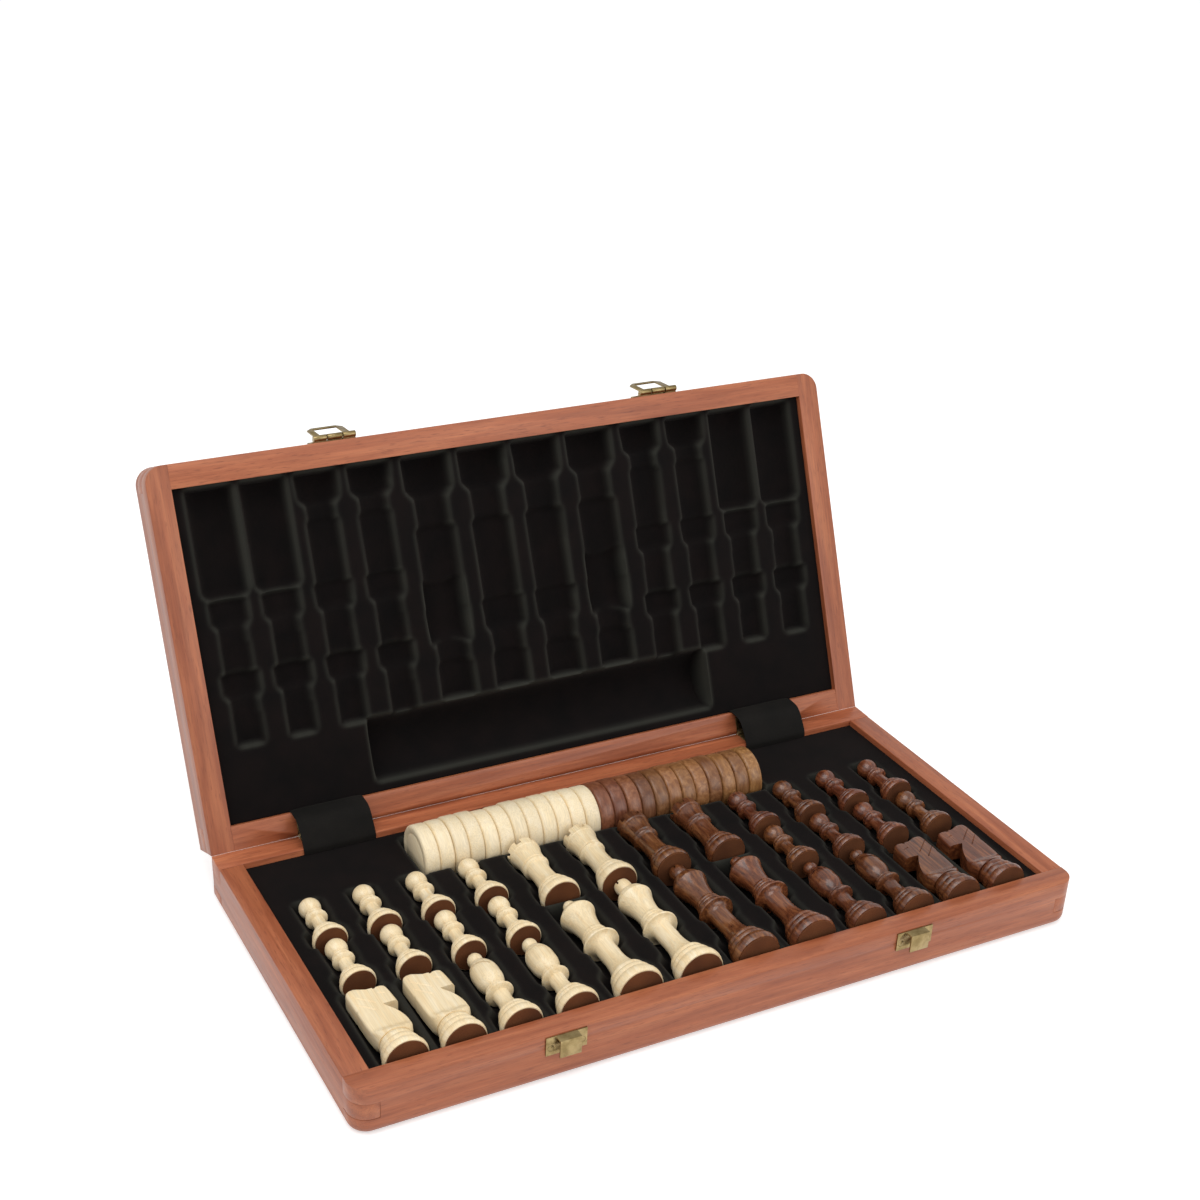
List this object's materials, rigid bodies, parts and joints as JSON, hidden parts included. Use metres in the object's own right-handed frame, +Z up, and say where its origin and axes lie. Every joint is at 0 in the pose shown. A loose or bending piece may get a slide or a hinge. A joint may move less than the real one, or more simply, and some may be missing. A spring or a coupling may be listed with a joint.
{
  "type": "folding chess and draughts set",
  "caption": "Folding wooden chess case whose outer faces form the board, with fitted trays holding turned chessmen and a row of draughtsmen on edge.",
  "frame": {"origin": "centre of the base half's flat board face, which the case stands on", "axes": "+X along the case's long side, +Y from the latches to the hinges, +Z up"},
  "size_m": [0.38, 0.2905, 0.2029],
  "materials": {
    "case_rails": "dark stained wood, satin lacquer",
    "panels": "thin panel, unfinished",
    "dark_veneer": "dark stained veneer, satin lacquer",
    "light_veneer": "light maple veneer, satin lacquer",
    "flocked_trays": "black flock on a formed tray",
    "straps": "dark thin leather",
    "brassware": "pressed brass, lightly polished",
    "light_men": "turned pale wood, satin lacquer",
    "dark_men": "turned dark stained wood, satin lacquer",
    "light_discs": "turned pale wood",
    "dark_discs": "turned stained wood"
  },
  "bodies": {
    "base": {"base_front_rail": "case_rails", "base_back_rail": "case_rails", "base_left_rail": "case_rails", "base_right_rail": "case_rails", "base_panel": "panels", "base_dark_veneer": "dark_veneer", "base_light_veneer": "light_veneer", "base_tray": "flocked_trays", "base_hinge_leaves": "brassware", "hinge_pins": "brassware", "hinge_straps": "straps", "catch_plates": "brassware", "base_screws": "brassware"},
    "lid": {"lid_front_rail": "case_rails", "lid_back_rail": "case_rails", "lid_left_rail": "case_rails", "lid_right_rail": "case_rails", "lid_panel": "panels", "lid_dark_veneer": "dark_veneer", "lid_light_veneer": "light_veneer", "lid_tray": "flocked_trays", "lid_hinge_leaves": "brassware", "hasp_plates": "brassware", "lid_screws": "brassware"},
    "left_hasp": {"left_hasp": "brassware"},
    "right_hasp": {"right_hasp": "brassware"},
    "light_king": {"light_king": "light_men"},
    "light_queen": {"light_queen": "light_men"},
    "light_bishop_1": {"light_bishop_1": "light_men"},
    "light_bishop_2": {"light_bishop_2": "light_men"},
    "light_knight_1": {"light_knight_1": "light_men"},
    "light_knight_2": {"light_knight_2": "light_men"},
    "light_rook_1": {"light_rook_1": "light_men"},
    "light_rook_2": {"light_rook_2": "light_men"},
    "light_pawn_1": {"light_pawn_1": "light_men"},
    "light_pawn_2": {"light_pawn_2": "light_men"},
    "light_pawn_3": {"light_pawn_3": "light_men"},
    "light_pawn_4": {"light_pawn_4": "light_men"},
    "light_pawn_5": {"light_pawn_5": "light_men"},
    "light_pawn_6": {"light_pawn_6": "light_men"},
    "light_pawn_7": {"light_pawn_7": "light_men"},
    "light_pawn_8": {"light_pawn_8": "light_men"},
    "dark_king": {"dark_king": "dark_men"},
    "dark_queen": {"dark_queen": "dark_men"},
    "dark_bishop_1": {"dark_bishop_1": "dark_men"},
    "dark_bishop_2": {"dark_bishop_2": "dark_men"},
    "dark_knight_1": {"dark_knight_1": "dark_men"},
    "dark_knight_2": {"dark_knight_2": "dark_men"},
    "dark_rook_1": {"dark_rook_1": "dark_men"},
    "dark_rook_2": {"dark_rook_2": "dark_men"},
    "dark_pawn_1": {"dark_pawn_1": "dark_men"},
    "dark_pawn_2": {"dark_pawn_2": "dark_men"},
    "dark_pawn_3": {"dark_pawn_3": "dark_men"},
    "dark_pawn_4": {"dark_pawn_4": "dark_men"},
    "dark_pawn_5": {"dark_pawn_5": "dark_men"},
    "dark_pawn_6": {"dark_pawn_6": "dark_men"},
    "dark_pawn_7": {"dark_pawn_7": "dark_men"},
    "dark_pawn_8": {"dark_pawn_8": "dark_men"},
    "light_checkers": {"light_checkers": "light_discs"},
    "dark_checkers": {"dark_checkers": "dark_discs"}
  },
  "joints": [
    {"name": "lid_hinge", "type": "hinge", "parent": "base", "child": "lid", "pos_m": [0, 0.0952, 0.0253], "axis": [-1, 0, 0], "range_deg": [-112.67, 67.33], "deforming": ["hinge_straps"]},
    {"name": "left_hasp_hinge", "type": "hinge", "parent": "lid", "child": "left_hasp", "pos_m": [-0.092, 0.17286, 0.20137], "axis": [-1, 0, 0], "range_deg": [-162, 0]},
    {"name": "right_hasp_hinge", "type": "hinge", "parent": "lid", "child": "right_hasp", "pos_m": [0.092, 0.17286, 0.20137], "axis": [-1, 0, 0], "range_deg": [-162, 0]},
    {"name": "light_king_lift", "type": "slide", "parent": "base", "child": "light_king", "axis": [0, 0, 1], "range_m": [0, 0.04]},
    {"name": "light_queen_lift", "type": "slide", "parent": "base", "child": "light_queen", "axis": [0, 0, 1], "range_m": [0, 0.04]},
    {"name": "light_bishop_1_lift", "type": "slide", "parent": "base", "child": "light_bishop_1", "axis": [0, 0, 1], "range_m": [0, 0.04]},
    {"name": "light_bishop_2_lift", "type": "slide", "parent": "base", "child": "light_bishop_2", "axis": [0, 0, 1], "range_m": [0, 0.04]},
    {"name": "light_knight_1_lift", "type": "slide", "parent": "base", "child": "light_knight_1", "axis": [0, 0, 1], "range_m": [0, 0.04]},
    {"name": "light_knight_2_lift", "type": "slide", "parent": "base", "child": "light_knight_2", "axis": [0, 0, 1], "range_m": [0, 0.04]},
    {"name": "light_rook_1_lift", "type": "slide", "parent": "base", "child": "light_rook_1", "axis": [0, 0, 1], "range_m": [0, 0.04]},
    {"name": "light_rook_2_lift", "type": "slide", "parent": "base", "child": "light_rook_2", "axis": [0, 0, 1], "range_m": [0, 0.04]},
    {"name": "light_pawn_1_lift", "type": "slide", "parent": "base", "child": "light_pawn_1", "axis": [0, 0, 1], "range_m": [0, 0.04]},
    {"name": "light_pawn_2_lift", "type": "slide", "parent": "base", "child": "light_pawn_2", "axis": [0, 0, 1], "range_m": [0, 0.04]},
    {"name": "light_pawn_3_lift", "type": "slide", "parent": "base", "child": "light_pawn_3", "axis": [0, 0, 1], "range_m": [0, 0.04]},
    {"name": "light_pawn_4_lift", "type": "slide", "parent": "base", "child": "light_pawn_4", "axis": [0, 0, 1], "range_m": [0, 0.04]},
    {"name": "light_pawn_5_lift", "type": "slide", "parent": "base", "child": "light_pawn_5", "axis": [0, 0, 1], "range_m": [0, 0.04]},
    {"name": "light_pawn_6_lift", "type": "slide", "parent": "base", "child": "light_pawn_6", "axis": [0, 0, 1], "range_m": [0, 0.04]},
    {"name": "light_pawn_7_lift", "type": "slide", "parent": "base", "child": "light_pawn_7", "axis": [0, 0, 1], "range_m": [0, 0.04]},
    {"name": "light_pawn_8_lift", "type": "slide", "parent": "base", "child": "light_pawn_8", "axis": [0, 0, 1], "range_m": [0, 0.04]},
    {"name": "dark_king_lift", "type": "slide", "parent": "base", "child": "dark_king", "axis": [0, 0, 1], "range_m": [0, 0.04]},
    {"name": "dark_queen_lift", "type": "slide", "parent": "base", "child": "dark_queen", "axis": [0, 0, 1], "range_m": [0, 0.04]},
    {"name": "dark_bishop_1_lift", "type": "slide", "parent": "base", "child": "dark_bishop_1", "axis": [0, 0, 1], "range_m": [0, 0.04]},
    {"name": "dark_bishop_2_lift", "type": "slide", "parent": "base", "child": "dark_bishop_2", "axis": [0, 0, 1], "range_m": [0, 0.04]},
    {"name": "dark_knight_1_lift", "type": "slide", "parent": "base", "child": "dark_knight_1", "axis": [0, 0, 1], "range_m": [0, 0.04]},
    {"name": "dark_knight_2_lift", "type": "slide", "parent": "base", "child": "dark_knight_2", "axis": [0, 0, 1], "range_m": [0, 0.04]},
    {"name": "dark_rook_1_lift", "type": "slide", "parent": "base", "child": "dark_rook_1", "axis": [0, 0, 1], "range_m": [0, 0.04]},
    {"name": "dark_rook_2_lift", "type": "slide", "parent": "base", "child": "dark_rook_2", "axis": [0, 0, 1], "range_m": [0, 0.04]},
    {"name": "dark_pawn_1_lift", "type": "slide", "parent": "base", "child": "dark_pawn_1", "axis": [0, 0, 1], "range_m": [0, 0.04]},
    {"name": "dark_pawn_2_lift", "type": "slide", "parent": "base", "child": "dark_pawn_2", "axis": [0, 0, 1], "range_m": [0, 0.04]},
    {"name": "dark_pawn_3_lift", "type": "slide", "parent": "base", "child": "dark_pawn_3", "axis": [0, 0, 1], "range_m": [0, 0.04]},
    {"name": "dark_pawn_4_lift", "type": "slide", "parent": "base", "child": "dark_pawn_4", "axis": [0, 0, 1], "range_m": [0, 0.04]},
    {"name": "dark_pawn_5_lift", "type": "slide", "parent": "base", "child": "dark_pawn_5", "axis": [0, 0, 1], "range_m": [0, 0.04]},
    {"name": "dark_pawn_6_lift", "type": "slide", "parent": "base", "child": "dark_pawn_6", "axis": [0, 0, 1], "range_m": [0, 0.04]},
    {"name": "dark_pawn_7_lift", "type": "slide", "parent": "base", "child": "dark_pawn_7", "axis": [0, 0, 1], "range_m": [0, 0.04]},
    {"name": "dark_pawn_8_lift", "type": "slide", "parent": "base", "child": "dark_pawn_8", "axis": [0, 0, 1], "range_m": [0, 0.04]},
    {"name": "light_checkers_lift", "type": "slide", "parent": "base", "child": "light_checkers", "axis": [0, 0, 1], "range_m": [0, 0.04]},
    {"name": "dark_checkers_lift", "type": "slide", "parent": "base", "child": "dark_checkers", "axis": [0, 0, 1], "range_m": [0, 0.04]}
  ]
}
